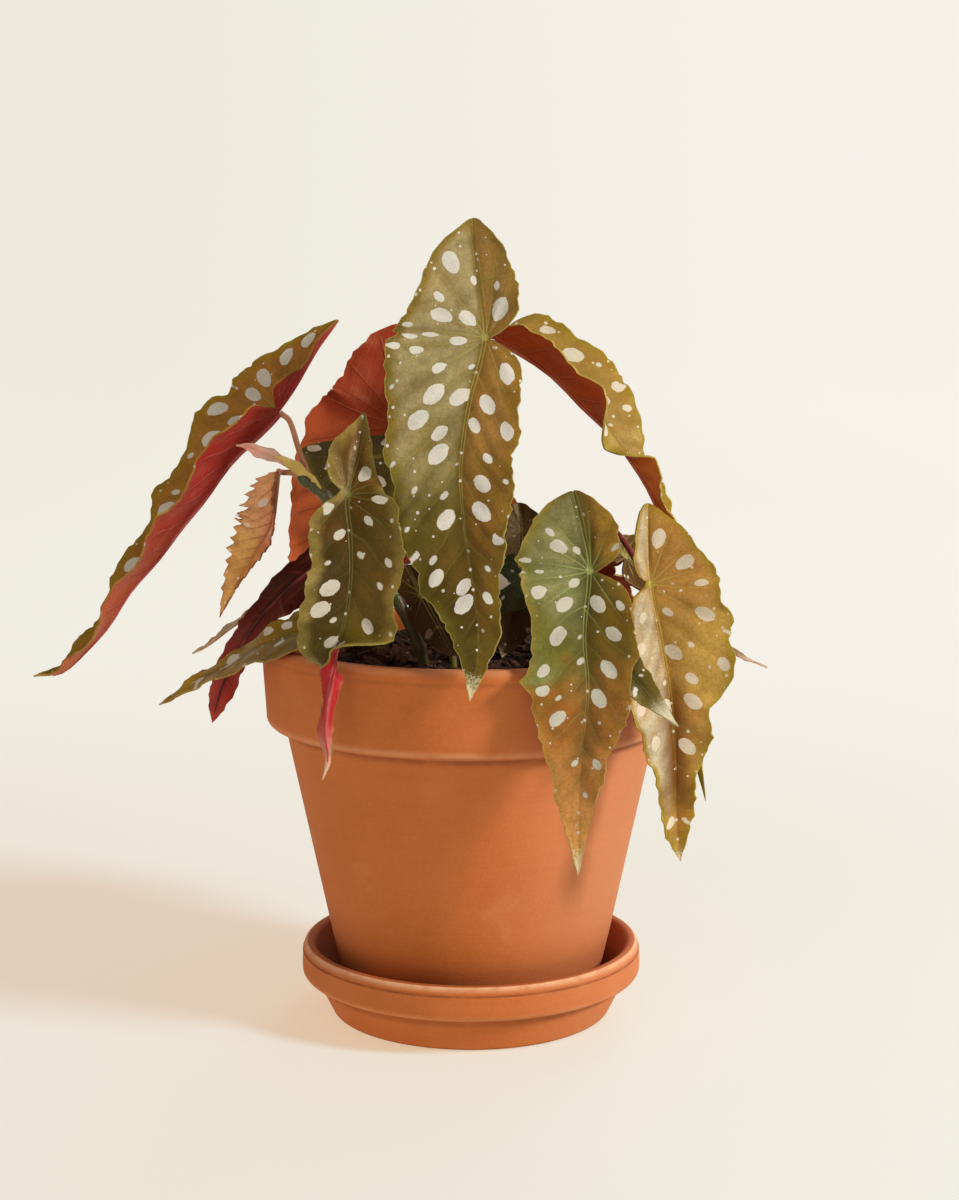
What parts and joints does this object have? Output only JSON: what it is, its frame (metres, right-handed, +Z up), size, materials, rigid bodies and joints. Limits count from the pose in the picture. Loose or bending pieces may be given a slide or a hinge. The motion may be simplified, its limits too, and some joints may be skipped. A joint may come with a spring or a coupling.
{
  "type": "potted polka dot begonia",
  "caption": "Potted begonia with drooping wing-shaped leaves, silver spots above and red below, in a round terracotta pot on a matching saucer.",
  "frame": {"origin": "centre of the saucer's flat underside, on the pot's axis", "axes": "+Z up out of the pot, +X to the right and +Y away from someone who looks at the plant's front, where the tallest leaf hangs"},
  "size_m": [0.2592, 0.1725, 0.2881],
  "materials": {
    "clay": "matte",
    "soil": "matte",
    "stem": "satin",
    "stem_young": "satin",
    "leaf_olive": "satin",
    "leaf_golden": "satin",
    "leaf_green": "satin",
    "leaf_dark": "satin",
    "leaf_maroon": "satin",
    "leaf_red": "satin",
    "leaf_young": "satin",
    "leaf_pale": "satin"
  },
  "bodies": {
    "root": {"pot": "clay", "saucer": "clay", "soil": "soil", "leaf_front_tall": "leaf_olive", "leaf_right_centre": "leaf_green", "leaf_right_golden": "leaf_golden", "leaf_mid_left": "leaf_olive", "leaf_left_folded": "leaf_maroon", "leaf_right_arching": "leaf_olive", "leaf_back_left": "leaf_red", "leaf_low_maroon": "leaf_maroon", "leaf_low_left": "leaf_green", "leaf_pale_tip": "leaf_pale", "leaf_dark_behind": "leaf_dark", "leaf_inner_brown": "leaf_dark", "leaf_inner_teal": "leaf_dark", "leaf_small_right": "leaf_green", "leaf_back_right": "leaf_green", "leaf_small_dark": "leaf_dark", "leaf_back_centre": "leaf_olive", "leaf_back_far_right": "leaf_green", "leaf_back_far_left": "leaf_golden", "leaf_young_toothed": "leaf_young", "cane_left": "stem", "cane_centre": "stem", "cane_right": "stem", "shoot_young": "stem_young"}
  },
  "joints": []
}
